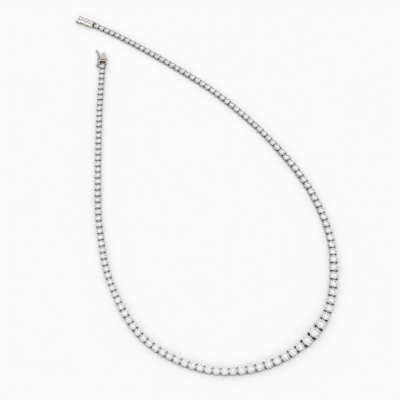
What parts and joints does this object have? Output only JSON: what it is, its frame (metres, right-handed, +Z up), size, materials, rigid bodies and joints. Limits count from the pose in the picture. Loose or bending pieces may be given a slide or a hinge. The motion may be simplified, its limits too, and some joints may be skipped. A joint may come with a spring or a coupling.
{
  "type": "riviere necklace",
  "caption": "Unfastened riviere necklace lying on a surface: graduated round brilliants in hinged box settings, with a box clasp, tongue and safety catch.",
  "frame": {"origin": "on the surface that the necklace lies on, under the middle of its outline", "axes": "+Z up, away from the surface, +Y from the front stones towards the clasp, +X towards the side of the loop that is away from both clasp ends"},
  "size_m": [0.1186, 0.177, 0.0028],
  "materials": {
    "white_metal": "polished white gold, lightly worn, darker in the recesses",
    "brilliants": "clear colourless cut stones with a polished table and facets"
  },
  "bodies": {
    "necklace": {"clasp_box": "white_metal", "box_side_links": "white_metal", "setting_01": "white_metal", "setting_02": "white_metal", "setting_03": "white_metal", "setting_04": "white_metal", "setting_05": "white_metal", "setting_06": "white_metal", "setting_07": "white_metal", "setting_08": "white_metal", "setting_09": "white_metal", "setting_10": "white_metal", "setting_11": "white_metal", "setting_12": "white_metal", "setting_13": "white_metal", "setting_14": "white_metal", "setting_15": "white_metal", "setting_16": "white_metal", "setting_17": "white_metal", "setting_18": "white_metal", "setting_19": "white_metal", "tongue_side_links": "white_metal", "clasp_tongue": "white_metal", "clasp_box_stones": "brilliants", "box_side_stones": "brilliants", "stone_01": "brilliants", "stone_02": "brilliants", "stone_03": "brilliants", "stone_04": "brilliants", "stone_05": "brilliants", "stone_06": "brilliants", "stone_07": "brilliants", "stone_08": "brilliants", "stone_09": "brilliants", "stone_10": "brilliants", "stone_11": "brilliants", "stone_12": "brilliants", "stone_13": "brilliants", "stone_14": "brilliants", "stone_15": "brilliants", "stone_16": "brilliants", "stone_17": "brilliants", "stone_18": "brilliants", "stone_19": "brilliants", "tongue_side_stones": "brilliants"},
    "catch": {"safety_catch": "white_metal"}
  },
  "joints": [
    {"name": "catch_hinge", "type": "hinge", "parent": "necklace", "child": "catch", "pos_m": [-0.04721, 0.0591, 0.00074], "axis": [0.9999, -0.0116, 0], "range_deg": [0, 172]}
  ]
}
